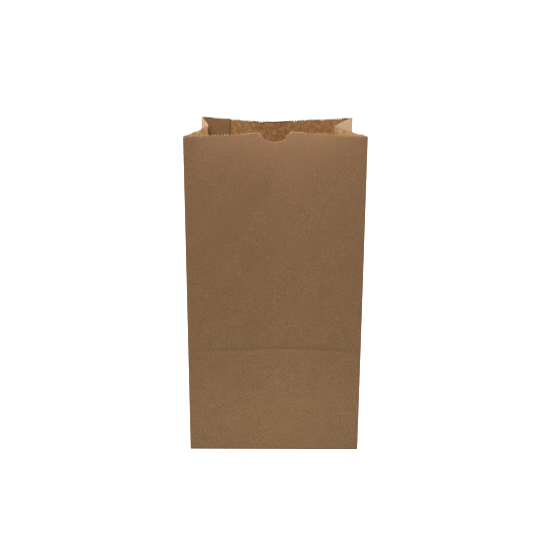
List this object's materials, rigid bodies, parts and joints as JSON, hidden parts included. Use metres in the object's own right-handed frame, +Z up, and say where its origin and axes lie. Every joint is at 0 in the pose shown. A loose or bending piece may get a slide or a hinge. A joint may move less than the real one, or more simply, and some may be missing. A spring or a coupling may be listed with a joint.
{
  "type": "paper lunch bag",
  "caption": "Brown kraft paper bag standing open, with a flat block bottom, folded side gussets, a serrated mouth and a thumb notch, for holding a packed lunch.",
  "frame": {"origin": "middle of the base, on the surface that the bag stands on", "axes": "+Z up through the open mouth, +X along the wide panels, -Y towards the front panel with the thumb notch"},
  "size_m": [0.127, 0.0861, 0.24],
  "materials": {
    "kraft_paper": "unbleached kraft, matt, machine finished outside and slightly rougher inside"
  },
  "bodies": {
    "root": {"paper_bag": "kraft_paper"}
  },
  "joints": []
}
